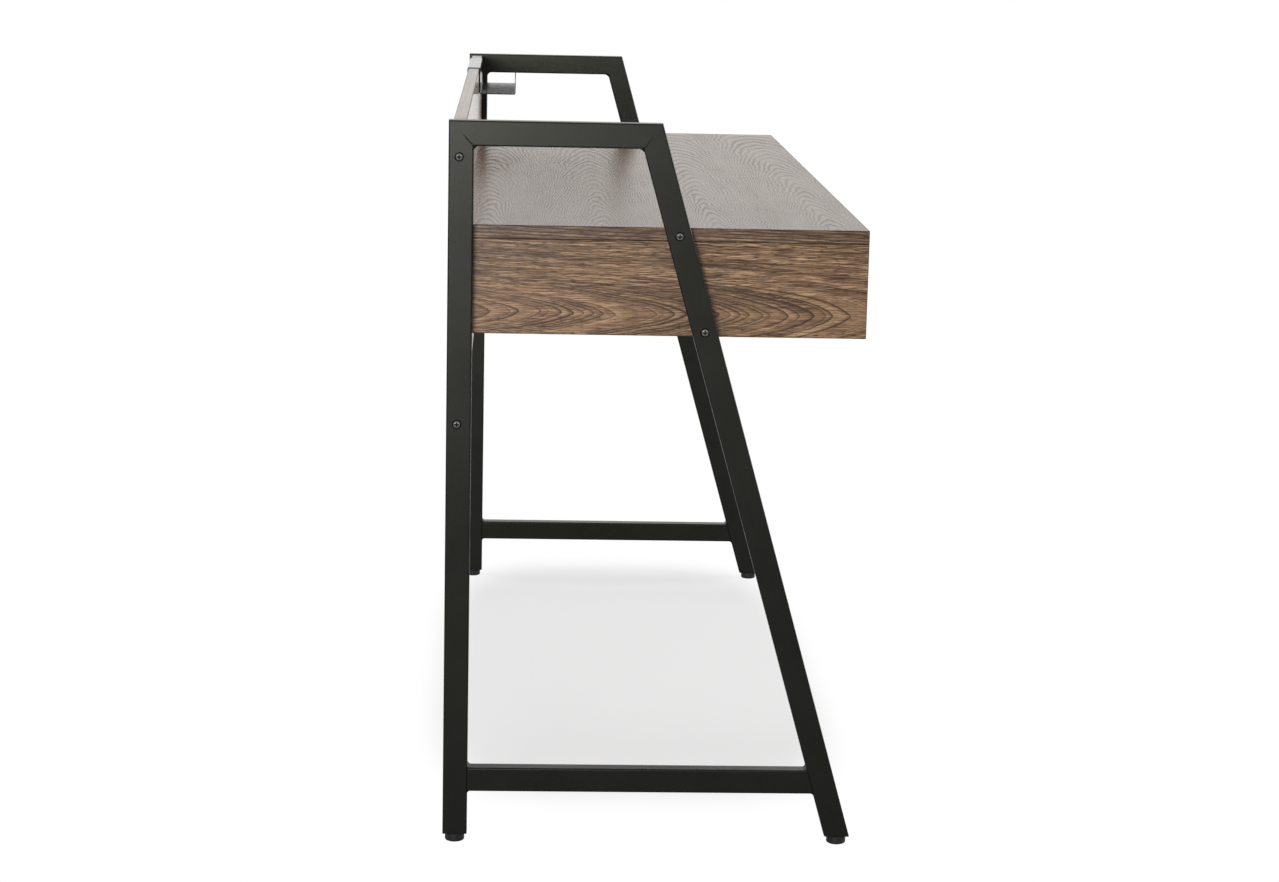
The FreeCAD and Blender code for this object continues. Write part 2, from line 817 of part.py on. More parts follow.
def drawer_box(bay, left, right):
    outer = ("%s + rail_space" % left, "%s - rail_space" % right)
    inner = (outer[0] + " + drawer_board", outer[1] + " - drawer_board")
    groove = ("drawer_under + groove_up - groove_gap", "drawer_under + groove_up + drawer_floor + groove_gap")
    heights = ("drawer_under", "drawer_top")
    lengths = ("front_seam", "drawer_rear")
    for end, across, face, away in (
            ("left", (outer[0], inner[0]), inner[0], False),
            ("right", (inner[1], outer[1]), inner[1], True)):
        side = board("%s_drawer_%s_side" % (bay, end), across, lengths, heights)
        strip = rectangle("front_seam - overrun", "drawer_rear + overrun", groove[0], groove[1])
        cut(side, polygon(side, "YZ_Plane", face, strip), "groove_depth", away)
        outside = across[1] if away else across[0]
        pilot_holes(side.Label, outside, not away)
    board(
        "%s_drawer_back" % bay, inner, ("drawer_rear - drawer_board", "drawer_rear"),
        ("drawer_under + groove_up + drawer_floor + groove_gap", "drawer_top"))
    floor = (inner[0] + " - groove_depth + groove_gap", inner[1] + " + groove_depth - groove_gap")
    board(
        "%s_drawer_bottom" % bay, floor, ("front_seam - groove_depth + groove_gap", "drawer_rear"),
        ("drawer_under + groove_up", "drawer_under + groove_up + drawer_floor"), "groove_gap")
    front = drawer_front("%s_drawer_front" % bay, left, right)
    slot = rectangle(
        floor[0] + " - groove_gap", floor[1] + " + groove_gap", groove[0], groove[1])
    cut(front, polygon(front, "XZ_Plane", "-front_seam", slot), "groove_depth", True)
    return outer


def drawer_screw(name, face, inwards, height):
    """A screw through a drawer side into the end of the drawer's back."""
    turn = to_right if inwards > 0 else to_left
    row = "drawer_rear - drawer_board / 2"
    cap = primitive(
        "Cylinder", name + "_cap", (mirrored(face, inwards, "-drawer_screw_cap"), row, height), turn,
        Radius="drawer_screw_head", Height="drawer_screw_cap")
    shank = primitive(
        "Cylinder", name + "_shank", (face, row, height), turn,
        Radius="drawer_screw_radius", Height="drawer_screw_length")
    return joined("MultiFuse", name, [cap, shank])


def drawer_dowel(name, face, inwards, height):
    """A dowel along Y between the front and the end of a side."""
    spot = (mirrored(face, inwards, "drawer_board / 2"), "front_seam + drawer_dowel_into_side", height)
    return primitive(
        "Cylinder", name, spot, to_front, Radius="drawer_dowel_radius",
        Height="drawer_dowel_into_side + drawer_dowel_into_front")


def fixing_heights():
    lowest = "drawer_under + groove_up + drawer_floor + drawer_screw_margin"
    return [lowest, "drawer_top - drawer_screw_margin"]


def drawer_fixings(bay, outer):
    screws = []
    rail_screws = []
    dowels = []
    front = nodes["%s_drawer_front" % bay]
    back = nodes["%s_drawer_back" % bay]
    row = "drawer_rear - drawer_board / 2"
    for end, face, inwards in (("left", outer[0], 1), ("right", outer[1], -1)):
        side = nodes["%s_drawer_%s_side" % (bay, end)]
        spots = [(row, height) for height in fixing_heights()]
        hole = "drawer_screw_radius + fitting_gap"
        bore(side, "YZ_Plane", face, spots, hole, "drawer_board", inwards > 0)
        grip = "drawer_screw_length - drawer_board"
        bore(back, "YZ_Plane", mirrored(face, inwards, "drawer_board"), spots, hole, grip, inwards > 0)
        middle = mirrored(face, inwards, "drawer_board / 2")
        spots = [(middle, height) for height in fixing_heights()]
        hole = "drawer_dowel_radius + fitting_gap"
        bore(side, "XZ_Plane", "-front_seam", spots, hole, "drawer_dowel_into_side", False)
        bore(front, "XZ_Plane", "-front_seam", spots, hole, "drawer_dowel_into_front", True)
        for place, height in enumerate(fixing_heights()):
            stem = "%s_drawer_%s_%d" % (bay, end, place)
            screws.append(drawer_screw(stem + "_screw", face, inwards, height))
            dowels.append(drawer_dowel(stem + "_dowel", face, inwards, height))
        for place, height in enumerate(rail_screw_rows()):
            stem = "%s_drawer_%s_rail_screw_%d" % (bay, end, place)
            rail_screws.append(rail_screw(stem, face, -inwards, height))
    group("%s_drawer_screws" % bay, screws)
    group("%s_drawer_dowels" % bay, dowels)
    group("%s_drawer_rail_screws" % bay, rail_screws)


def drawers():
    for bay, left, right in bays:
        outer = drawer_box(bay, left, right)
        drawer_fixings(bay, outer)


drawers()


# Tray of bent sheet, hooked over the back panel

def tray_outline():
    """The sheet's section from the back lip over the panel, down its face and out to the front lip."""
    lip_low = "tray_top - tray_lip_down"
    floor = "tray_top - tray_drop"
    reach = "tray_face - tray_reach"
    return [
        ("tray_back", lip_low),
        ("tray_back + tray_sheet", lip_low),
        ("tray_back + tray_sheet", "tray_top"),
        ("tray_face - tray_sheet", "tray_top"),
        ("tray_face - tray_sheet", floor),
        (reach + " + tray_sheet", floor),
        (reach + " + tray_sheet", floor + " + tray_lip_up"),
        (reach, floor + " + tray_lip_up"),
        (reach, floor + " - tray_sheet"),
        ("tray_face", floor + " - tray_sheet"),
        ("tray_face", "tray_top - tray_sheet"),
        ("tray_back", "tray_top - tray_sheet"),
    ]


def hooked_tray():
    body = new_body("hooked_tray")
    pad(body, polygon(body, "YZ_Plane", "tray_start", tray_outline()), "tray_length")
    spots = [(number(across), number(up)) for across, up in tray_outline()]
    hair = number("tray_sheet / 10")

    def at_bend(places):
        def test(edge):
            box = edge.BoundBox
            gaps = [abs(box.YMin - spots[place][0]) + abs(box.ZMin - spots[place][1]) for place in places]
            return box.YLength + box.ZLength < hair and min(gaps) < hair
        return test
    rounded(body, "tray_bend", at_bend((2, 3, 8, 9)))
    rounded(body, "tray_bend - tray_sheet", at_bend((4, 5, 10, 11)))


hooked_tray()

# Check every object and write each node

doc.recompute()
for thing in doc.Objects:
    if "Invalid" in thing.State or "Error" in thing.State:
        raise RuntimeError("failed: " + thing.Label)

os.makedirs("parts", exist_ok=True)
for name, thing in nodes.items():
    shape = thing.Shape
    if shape.isNull() or not shape.isValid() or not shape.Solids:
        raise RuntimeError("bad shape: " + name)
    shape.exportStep("parts/%s.step" % name)
print(len(nodes), "nodes written")
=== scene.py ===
import math

import bmesh
import bpy
import numpy as np
from mathutils import Matrix, Vector


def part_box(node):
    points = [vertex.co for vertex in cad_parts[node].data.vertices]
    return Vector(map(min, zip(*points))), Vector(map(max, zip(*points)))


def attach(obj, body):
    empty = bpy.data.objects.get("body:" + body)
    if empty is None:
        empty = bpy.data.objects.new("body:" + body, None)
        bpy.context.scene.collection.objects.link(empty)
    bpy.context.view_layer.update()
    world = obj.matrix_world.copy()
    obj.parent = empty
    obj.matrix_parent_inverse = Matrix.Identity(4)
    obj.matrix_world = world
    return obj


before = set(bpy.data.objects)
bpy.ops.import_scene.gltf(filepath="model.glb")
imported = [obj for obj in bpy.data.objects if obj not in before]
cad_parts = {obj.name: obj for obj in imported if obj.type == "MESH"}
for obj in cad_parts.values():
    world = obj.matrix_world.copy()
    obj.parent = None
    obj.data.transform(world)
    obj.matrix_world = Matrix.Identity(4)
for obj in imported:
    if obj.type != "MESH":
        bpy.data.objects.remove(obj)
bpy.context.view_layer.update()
print("desk frame loaded:", len(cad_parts), "CAD nodes")

# A writing desk: a walnut-look box with a back panel, hung between two black steel side frames.
# X runs along the desk, -Y is its front, Z is up. Everything is in metres unless a note says mm.


# Small helpers

# sRGB hex to linear RGBA, times a share: below 0.04045 divided by 12.92, above it the 2.4 power curve
def linearFromHex(text, share=1.0):
    parts = [int(text[place:place + 2], 16) / 255 for place in (0, 2, 4)]
    linear = [p / 12.92 if p <= 0.04045 else ((p + 0.055) / 1.055) ** 2.4 for p in parts]
    return [share * part for part in linear] + [1.0]


# adds a shader node, sets its properties and fills its inputs from sockets or plain values
def addNode(tree, kind, links=(), **settings):
    node = tree.nodes.new("ShaderNode" + kind)
    for name, value in settings.items():
        setattr(node, name, value)
    pairs = links.items() if isinstance(links, dict) else enumerate(links)
    for socket, source in pairs:
        if isinstance(source, bpy.types.NodeSocket):
            tree.links.new(source, node.inputs[socket])
        elif source is not None:
            node.inputs[socket].default_value = source
    return node.outputs[0] if node.outputs else None


def startMaterial(name):
    material = bpy.data.materials.new(name)
    material.use_nodes = True
    material.node_tree.nodes.clear()
    return material, material.node_tree


# gives a CAD node its finish, in every slot that its mesh has
def dress(node, material):
    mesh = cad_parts[node].data
    if not mesh.materials:
        mesh.materials.append(material)
    for place in range(len(mesh.materials)):
        mesh.materials[place] = material


# Walnut-look melamine: a printed, embossed paper under clear resin on particle board. Seen straight
# on it is a brown print with dark growth lines and fibres, and along the face the resin mirrors light.

walnut = {
    "light": "c4a17c",               # early wood and flecks
    "middle": "7e6249",
    "dark": "432f20",                # growth lines and pores
    "glueAndEdgeShade": "241a12",                # glue line along every edge, darkened further by painted shade of the rounded edge
    "band": "e6ebf5",                # tint of the printed tape on the boards' narrow edges
    "fibreLength": 40.0,             # mm
    "fibreWidth": 0.85,              # mm, real fibres are finer and drawn as coarse as they need to show
    "poreLength": 11.0,              # mm
    "poreWidth": 0.75,               # mm, drawn coarser too
    "swayPatch": (170.0, 60.0),      # mm along and across, of the slow bends in the growth lines
    "rippleLength": 46.0,            # mm
    "jagPatch": (14.0, 8.0),         # mm
    "fadePatch": (210.0, 38.0),      # mm, of the places where growth lines fade
    "thinLine": (0.4, 1.6, 0.75),    # mm from a year's end where full and where gone, and its strength
    "slowLine": (0.5, 6.0, 0.30),    # the slow darkening before it
    "glueAndEdgeShadeLine": (0.3, 1.25, 0.75),   # the same for the glue line with its painted edge shade, from the edge
    "glueAndEdgeShadeDulled": 1.2,               # roughness that the glue line and painted edge shade add
    "toneShare": 0.60,               # fibres, either way
    "poreShare": -0.75,
    "fleckShare": 0.45,
    "bandShare": 0.125,              # broad bands, either way
    "lightness": 0.645,              # of the plain print, on the ramp from dark to light
    "sheenRoughness": 0.3,
    "bumpHeight": 0.00012,
    "tapeBend": 2.4,                 # mm, the most that a growth line bends on the tape
    "tapeAside": 45.0,               # mm, how far the tape's print lies from the heart line
    "tape": {"fibrous": 1.3, "inked": 0.9, "soft": 0.0, "banded": 1.0},    # the tape's own figure
}

# the figure of a plain board, and below the boards that differ from it, all lengths in mm
plainFigure = {
    "broad": 1,              # axis that the broad faces look along: 0 X, 1 Y, 2 Z
    "grain": "x",            # axis that the grain follows
    "flow": 1,               # which way the arches point along the grain, 1 or -1
    "seed": 0.0,
    "heart": 0.0,            # where a heart line lies across the grain
    "hearts": 400.0,         # from a heart line to halfway to the next
    "climb": 1.0,            # how fast the arches travel along the grain
    "settle": 55.0,          # from the heart line to where their travel has halved
    "opening": 0.51,         # how fast they open to the sides
    "spacing": 12.5,         # between growth lines at the heart
    "uneven": 2.2,           # how much the years differ in width
    "even": 0.0,             # strength of the faintest year's line, 1 makes them alike
    "crowd": 0.5,            # strength of the lines where they crowd together
    "sway": 2.2,             # slow bends of the growth lines
    "ripple": 1.0,           # middling bends
    "rippleWidth": 24.0,
    "jag": 0.2,              # fine bends
    "lined": 1.0,            # strength of the growth lines
    "inked": 0.8,            # how dark they are printed
    "soft": 0.0,             # 1 makes them waves without a hard edge
    "patchy": 1.0,           # how far they fade in patches
    "fibrous": 1.0,          # strength of fibres, pores and flecks
    "banded": 1.0,           # strength of the broad bands
    "contrast": 1.0,         # of the whole print
    "tint": "ffffff",        # of the broad faces
    "relief": 0.3,           # strength of the embossing
    "roughness": 0.24,
    "tapeRoughness": 0.24,
    "dulled": 0.06,          # roughness that a growth line adds
    "specular": 0.25,
    "sheen": 0.0,
}

boardFigures = {
    "left_side_panel": {"broad": 0, "grain": "y", "flow": -1, "seed": 1.0, "heart": 660,
                        "contrast": 1.15, "lined": 1.35},
    "right_side_panel": {"broad": 0, "grain": "y", "flow": -1, "seed": 21.0, "heart": 668,
                         "contrast": 1.15, "lined": 1.35},
    "desktop": {"broad": 2, "seed": 5.0, "heart": 67, "hearts": 70, "climb": 0.4, "opening": 0.3,
                "spacing": 22.0, "uneven": 0.5, "even": 0.6, "crowd": 1.0, "sway": 7.0,
                "ripple": 2.4, "rippleWidth": 60.0, "jag": 0.1, "lined": 1.2, "inked": 0.4,
                "soft": 1.0, "patchy": 0.85, "fibrous": 0.25, "banded": 0.4, "tint": "e8eef7",
                "relief": 0.0, "dulled": 0.08},
    "upper_back_panel": {"seed": 9.0, "heart": 812, "climb": 0.5, "spacing": 20.0,
                         "contrast": 0.4, "relief": 0.0, "roughness": 0.1,
                         "tapeRoughness": 0.44, "specular": 0.5, "sheen": 0.25},
    "lower_back_board": {"seed": 13.0, "heart": 610, "climb": 0.5, "spacing": 26.0},
    "bottom_panel": {"broad": 2, "seed": 25.0, "heart": 20, "hearts": 130, "climb": 0.4,
                     "spacing": 30.0},
    "centre_divider": {"broad": 0, "grain": "y", "seed": 29.0, "heart": 690},
    "left_drawer_front": {"seed": 31.0, "heart": 700, "climb": 0.7},
    "right_drawer_front": {"seed": 37.0, "heart": 694, "climb": 0.7},
}
for side, seed in (("left", 41.0), ("right", 47.0)):
    for piece, broad, grain in (("left_side", 0, "y"), ("right_side", 0, "y"), ("back", 1, "x")):
        boardFigures["%s_drawer_%s" % (side, piece)] = {
            "broad": broad, "grain": grain, "seed": seed, "heart": 700, "climb": 0.6,
            "contrast": 0.8}
    boardFigures[side + "_drawer_bottom"] = {
        "broad": 2, "seed": seed + 2.0, "hearts": 120, "climb": 0.4, "spacing": 26.0,
        "contrast": 0.6}

facingShare = 0.7    # of a face's normal along an axis, past which the face looks along it


# millimetres along and across the grain on each face of a board, chosen by where the face looks
def boardCoordinates(tree, grain):
    places = addNode(tree, "TexCoord").node
    spot = addNode(tree, "VectorMath", {0: places.outputs["Object"], "Scale": 1000.0},
                   operation="SCALE")
    x, y, z = addNode(tree, "SeparateXYZ", [spot]).node.outputs
    facing = addNode(tree, "VectorMath", [places.outputs["Normal"]], operation="ABSOLUTE")
    face = addNode(tree, "SeparateXYZ", [facing]).node.outputs
    if grain == "x":
        front, top, end = (x, z, y), (x, y, z), (y, z, x)
    else:
        front, top, end = (z, x, y), (y, x, z), (y, z, x)
    vectors = [addNode(tree, "CombineXYZ", list(parts)) for parts in (front, top, end)]
    isTop = addNode(tree, "Math", [face[2], facingShare], operation="GREATER_THAN")
    isEnd = addNode(tree, "Math", [face[0], facingShare], operation="GREATER_THAN")
    vector = addNode(tree, "Mix", {0: isTop, 4: vectors[0], 5: vectors[1]},
                     data_type="VECTOR").node.outputs[1]
    vector = addNode(tree, "Mix", {0: isEnd, 4: vector, 5: vectors[2]},
                     data_type="VECTOR").node.outputs[1]
    return vector, spot, face


# noise from 0 to 1 whose patches are drawn out along the grain
def stretchedNoise(tree, along, across, lengthMm, widthMm, seed, detail):
    spot = addNode(tree, "CombineXYZ", [
        addNode(tree, "Math", [along, 1 / lengthMm], operation="MULTIPLY"),
        addNode(tree, "Math", [across, 1 / widthMm], operation="MULTIPLY"), seed])
    return addNode(tree, "TexNoise", {"Vector": spot, "Scale": 1.0, "Detail": detail,
                                      "Roughness": 0.55})


# Millimetres from a point on a board's face to the face's nearest edge: of the distances to the
# board's planes along X, Y and Z the smallest is the face's own and the second is the edge's.
def edgeDistance(tree, spot, corners):
    gaps = []
    low, high = [[1000 * value for value in corner] for corner in corners]
    for axis, value in enumerate(addNode(tree, "SeparateXYZ", [spot]).node.outputs):
        middle = addNode(tree, "Math", [value, (low[axis] + high[axis]) / 2], operation="SUBTRACT")
        middle = addNode(tree, "Math", [middle], operation="ABSOLUTE")
        gaps.append(addNode(tree, "Math", [(high[axis] - low[axis]) / 2, middle],
                            operation="SUBTRACT"))
    small = addNode(tree, "Math", gaps[:2], operation="MINIMUM")
    large = addNode(tree, "Math", gaps[:2], operation="MAXIMUM")
    large = addNode(tree, "Math", [large, gaps[2]], operation="MINIMUM")
    return addNode(tree, "Math", [small, large], operation="MAXIMUM")


# Growth lines are level lines of f = climb x along / (1 + (side / settle)^2) + opening x side^1.6,
# with side the distance to the heart line, so they nest as pointed arches that open against the
# grain's flow and run nearly straight further out. Noise bends them.
def woodMaterial(name, corners, changes):
    own = {**plainFigure, **changes}
    seed, spacing = own["seed"], own["spacing"]
    material, tree = startMaterial(name)
    vector, spot, face = boardCoordinates(tree, own["grain"])
    along, across = addNode(tree, "SeparateXYZ", [vector]).node.outputs[:2]
    taped = addNode(tree, "Math", [face[own["broad"]], facingShare], operation="LESS_THAN")
    fibrous, inked, soft, banded = [
        addNode(tree, "MapRange", {"Value": taped, 3: own[part], 4: onTape})
        for part, onTape in walnut["tape"].items()]

    bent = across
    ripplePatch = (walnut["rippleLength"], own["rippleWidth"])
    for (length, width), height in ((walnut["swayPatch"], own["sway"]),
                                    (ripplePatch, own["ripple"]),
                                    (walnut["jagPatch"], own["jag"])):
        swing = stretchedNoise(tree, along, across, length, width, seed + length, 1.0)
        swing = addNode(tree, "Math", [swing, 0.5], operation="SUBTRACT")
        most = addNode(tree, "MapRange", {"Value": taped, 3: 4 * height,
                                          4: min(4 * height, walnut["tapeBend"])})
        bent = addNode(tree, "Math", [swing, most, bent], operation="MULTIPLY_ADD")
    side = addNode(tree, "Math", [bent, own["heart"]], operation="SUBTRACT")
    side = addNode(tree, "Math", [side, own["hearts"]], operation="PINGPONG")
    side = addNode(tree, "Math", [taped, walnut["tapeAside"], side], operation="MULTIPLY_ADD")
    arch = addNode(tree, "Math", [side, 1.6], operation="POWER")
    arch = addNode(tree, "Math", [arch, own["opening"]], operation="MULTIPLY")
    fading = addNode(tree, "Math", [side, 1 / own["settle"]], operation="MULTIPLY")
    fading = addNode(tree, "Math", [fading, fading, 1.0], operation="MULTIPLY_ADD")
    travelled = addNode(tree, "Math", [along, own["flow"] * own["climb"]], operation="MULTIPLY")
    travelled = addNode(tree, "Math", [travelled, fading], operation="DIVIDE")
    distance = addNode(tree, "Math", [arch, travelled], operation="ADD")

    # uneven years, each with one thin dark line of its own strength after a slow darkening; steep is
    # the slope of f, which turns the tooth of each year back into millimetres on the face
    years = addNode(tree, "Math", [distance, 0.35 / spacing], operation="MULTIPLY")
    years = addNode(tree, "TexNoise", {"W": years, "Scale": 1.0, "Detail": 1.0},
                    noise_dimensions="1D")
    years = addNode(tree, "Math", [years, own["uneven"]], operation="MULTIPLY")
    rings = addNode(tree, "Math", [distance, 1 / spacing], operation="MULTIPLY")
    rings = addNode(tree, "Math", [rings, years], operation="ADD")
    tooth = addNode(tree, "Math", [rings], operation="FRACT")
    strength = addNode(tree, "Math", [rings], operation="FLOOR")
    strength = addNode(tree, "TexWhiteNoise", {"W": strength}, noise_dimensions="1D")
    strength = addNode(tree, "MapRange", {"Value": strength, 3: own["even"] * own["lined"],
                                          4: own["lined"]})
    steep = addNode(tree, "Math", [side, 0.6], operation="POWER")
    steep = addNode(tree, "Math", [steep, 1.6 * own["opening"]], operation="MULTIPLY")
    steep = addNode(tree, "Math", [steep, own["climb"]], operation="ADD")
    ahead = addNode(tree, "Math", [1.0, tooth], operation="SUBTRACT")
    ahead = addNode(tree, "Math", [ahead, spacing], operation="MULTIPLY")
    ahead = addNode(tree, "Math", [ahead, steep], operation="DIVIDE")
    thinDark, slowDark = [
        addNode(tree, "MapRange", {"Value": ahead, 1: full, 2: gone, 3: share, 4: 0.0})
        for full, gone, share in (walnut["thinLine"], walnut["slowLine"])]
    line = addNode(tree, "Math", [slowDark, thinDark], operation="ADD")
    wave = addNode(tree, "Math", [rings, 2 * math.pi], operation="MULTIPLY")
    wave = addNode(tree, "Math", [wave], operation="COSINE")
    wave = addNode(tree, "Math", [wave, 0.5, 0.5], operation="MULTIPLY_ADD")
    wave = addNode(tree, "Math", [wave, 2.0], operation="POWER")
    line = addNode(tree, "Mix", {0: soft, 2: line, 3: wave})
    crowded = addNode(tree, "MapRange", {"Value": steep, 1: 4.0, 2: 14.0, 3: 1.0, 4: own["crowd"]})
    patch = stretchedNoise(tree, along, across, *walnut["fadePatch"], seed + 17.0, 1.0)
    patch = addNode(tree, "MapRange", {"Value": patch, 1: 0.32, 2: 0.62,
                                       3: 1 - 0.65 * own["patchy"], 4: 1 + 0.1 * own["patchy"]})
    for share in (crowded, strength, patch):
        line = addNode(tree, "Math", [line, share], operation="MULTIPLY")

    # fibres, pores and pale flecks run along the grain
    fibre = stretchedNoise(tree, along, bent, walnut["fibreLength"], walnut["fibreWidth"],
                           seed + 7.0, 3.0)
    pore = stretchedNoise(tree, along, bent, walnut["poreLength"], walnut["poreWidth"],
                          seed + 11.0, 1.0)
    band = addNode(tree, "CombineXYZ", [
        addNode(tree, "Math", [along, 0.003], operation="MULTIPLY"),
        addNode(tree, "Math", [rings, 0.45], operation="MULTIPLY"), seed])
    band = addNode(tree, "TexNoise", {"Vector": band, "Scale": 1.0, "Detail": 2.0})
    pores = addNode(tree, "MapRange", {"Value": pore, 1: 0.56, 2: 0.70, 3: 0.0, 4: 1.0})
    flecks = addNode(tree, "MapRange", {"Value": pore, 1: 0.43, 2: 0.30, 3: 0.0, 4: 1.0})
    fleckPlaces = addNode(tree, "MapRange", {"Value": band, 1: 0.50, 2: 0.66, 3: 0.1, 4: 1.0})
    flecks = addNode(tree, "Math", [flecks, fleckPlaces], operation="MULTIPLY")
    bandShare, toneShare = walnut["bandShare"], walnut["toneShare"]
    lightness = addNode(tree, "MapRange", {"Value": band, 1: 0.32, 2: 0.68,
                                           3: -bandShare, 4: bandShare})
    lightness = addNode(tree, "Math", [lightness, banded, walnut["lightness"]],
                        operation="MULTIPLY_ADD")
    tone = addNode(tree, "MapRange", {"Value": fibre, 1: 0.30, 2: 0.70,
                                      3: -toneShare, 4: toneShare})
    coarse = addNode(tree, "MapRange", {"Value": steep, 1: 4.0, 2: 9.0, 3: 0.5, 4: 1.0})
    coarse = addNode(tree, "Math", [coarse, fibrous], operation="MULTIPLY")
    for part, share, weight in ((tone, coarse, 1.0), (line, inked, -1.0),
                                (pores, coarse, walnut["poreShare"]),
                                (flecks, coarse, walnut["fleckShare"])):
        part = addNode(tree, "Math", [part, share], operation="MULTIPLY")
        lightness = addNode(tree, "Math", [part, weight * own["contrast"], lightness],
                            operation="MULTIPLY_ADD")
    ramp = addNode(tree, "ValToRGB", [lightness]).node
    stops = ramp.color_ramp.elements
    stops[0].position, stops[0].color = 0.0, linearFromHex(walnut["dark"])
    stops[1].position, stops[1].color = 1.0, linearFromHex(walnut["light"])
    stops.new(0.5).color = linearFromHex(walnut["middle"])

    # the narrow edges carry a greyer printed tape, and a thin dark line runs along every edge: a glue
    # line, darkened further by painted shade of the rounded edge
    tint = addNode(tree, "Mix", {0: taped, 6: linearFromHex(own["tint"]),
                                 7: linearFromHex(walnut["band"])},
                   data_type="RGBA").node.outputs[2]
    colour = addNode(tree, "Mix", {0: 1.0, 6: ramp.outputs["Color"], 7: tint},
                     data_type="RGBA", blend_type="MULTIPLY").node.outputs[2]
    # glue line and painted edge shade: the colour darkens toward every edge of the board
    full, gone, share = walnut["glueAndEdgeShadeLine"]
    glueAndEdgeShade = addNode(tree, "MapRange", {"Value": edgeDistance(tree, spot, corners),
                                      1: full, 2: gone, 3: share, 4: 0.0})
    colour = addNode(tree, "Mix", {0: glueAndEdgeShade, 6: colour, 7: linearFromHex(walnut["glueAndEdgeShade"])},
                     data_type="RGBA").node.outputs[2]

    # the press plate leaves the growth lines a little sunk and less glossy
    height = addNode(tree, "Math", [fibre, 0.4], operation="MULTIPLY")
    height = addNode(tree, "Math", [height, line], operation="SUBTRACT")
    bump = addNode(tree, "Bump", {"Strength": own["relief"], "Distance": walnut["bumpHeight"],
                                  "Height": height})
    worn = addNode(tree, "MapRange", {"Value": fibre, 1: 0.25, 2: 0.75, 3: -0.03, 4: 0.04})
    shine = addNode(tree, "MapRange", {"Value": taped, 3: own["roughness"],
                                       4: own["tapeRoughness"]})
    shine = addNode(tree, "Math", [shine, worn], operation="ADD")
    shine = addNode(tree, "Math", [line, own["dulled"], shine], operation="MULTIPLY_ADD")
    shine = addNode(tree, "Math", [glueAndEdgeShade, walnut["glueAndEdgeShadeDulled"], shine], operation="MULTIPLY_ADD")
    surface = addNode(tree, "BsdfPrincipled", {
        "Base Color": colour, "Roughness": shine, "Normal": bump,
        "Specular IOR Level": own["specular"], "Sheen Weight": own["sheen"],
        "Sheen Roughness": walnut["sheenRoughness"]})
    addNode(tree, "OutputMaterial", {"Surface": surface})
    return material


# Powder coat, satin olive black, baked on steel tube: a fine orange peel and almost no colour.

powder = {
    "peel": 1.4,             # mm, orange peel
    "grit": 0.35,            # mm, the powder's own grain
    "cloud": 14.0,           # per metre, slow changes of shade and gloss
    "shade": (0.88, 1.12),   # shares of the colour between them
    "gloss": (-0.02, 0.03),  # what they add to the roughness
    "bump": 0.12,
    "bumpHeight": 0.00008,
}


def powderMaterial(name, colour, roughness, specular, tint="ffffff"):
    material, tree = startMaterial(name)
    places = addNode(tree, "TexCoord").node.outputs["Object"]
    peel = addNode(tree, "TexNoise", {"Vector": places, "Scale": 1000 / powder["peel"],
                                      "Detail": 2.0})
    grit = addNode(tree, "TexNoise", {"Vector": places, "Scale": 1000 / powder["grit"],
                                      "Detail": 1.0})
    cloud = addNode(tree, "TexNoise", {"Vector": places, "Scale": powder["cloud"],
                                       "Detail": 3.0, "Roughness": 0.6})
    height = addNode(tree, "Math", [peel, grit], operation="ADD")
    bump = addNode(tree, "Bump", {"Strength": powder["bump"], "Distance": powder["bumpHeight"],
                                  "Height": height})
    less, more = powder["gloss"]
    shine = addNode(tree, "MapRange", {"Value": cloud, 1: 0.3, 2: 0.7,
                                       3: roughness + less, 4: roughness + more})
    shade = addNode(tree, "MapRange", {"Value": cloud, 1: 0.3, 2: 0.7, 3: 0.0, 4: 1.0})
    darker, lighter = [linearFromHex(colour, share) for share in powder["shade"]]
    tone = addNode(tree, "Mix", {0: shade, 6: darker, 7: lighter},
                   data_type="RGBA").node.outputs[2]
    surface = addNode(tree, "BsdfPrincipled", {
        "Base Color": tone, "Roughness": shine, "Normal": bump, "Specular IOR Level": specular,
        "Specular Tint": linearFromHex(tint)})
    addNode(tree, "OutputMaterial", {"Surface": surface})
    return material


# Bright metals: zinc plate on pressed steel, with fine draw lines and a faint cloudiness.

zinc = {
    "drawn": 12.0,           # per metre, along the draw lines
    "cloud": 90.0,           # per metre
    "shade": 0.86,           # share of the colour where it is cloudy
    "gloss": (-0.06, 0.08),  # what the clouds add to the roughness
    "bump": 0.1,
    "bumpHeight": 0.00005,
}


def zincMaterial(name, colour, roughness, scratch):
    material, tree = startMaterial(name)
    places = addNode(tree, "TexCoord").node.outputs["Object"]
    drawn = addNode(tree, "Mapping", {"Vector": places, "Scale": (
        1000 / scratch, zinc["drawn"], 1000 / scratch)})
    lines = addNode(tree, "TexNoise", {"Vector": drawn, "Scale": 1.0, "Detail": 3.0})
    cloud = addNode(tree, "TexNoise", {"Vector": places, "Scale": zinc["cloud"], "Detail": 3.0})
    bump = addNode(tree, "Bump", {"Strength": zinc["bump"], "Distance": zinc["bumpHeight"],
                                  "Height": lines})
    less, more = zinc["gloss"]
    shine = addNode(tree, "MapRange", {"Value": cloud, 1: 0.3, 2: 0.7,
                                       3: roughness + less, 4: roughness + more})
    tint = addNode(tree, "Mix", {0: cloud, 6: linearFromHex(colour, zinc["shade"]),
                                 7: linearFromHex(colour)}, data_type="RGBA").node.outputs[2]
    surface = addNode(tree, "BsdfPrincipled", {
        "Base Color": tint, "Metallic": 1.0, "Roughness": shine, "Normal": bump})
    addNode(tree, "OutputMaterial", {"Surface": surface})
    return material


# Black zinc of the frame screws, with a painted highlight: the dome's top is coloured bright, and the
# recess and the rim stay black. Height is measured from the tube's face outward, which is along X on
# either side.

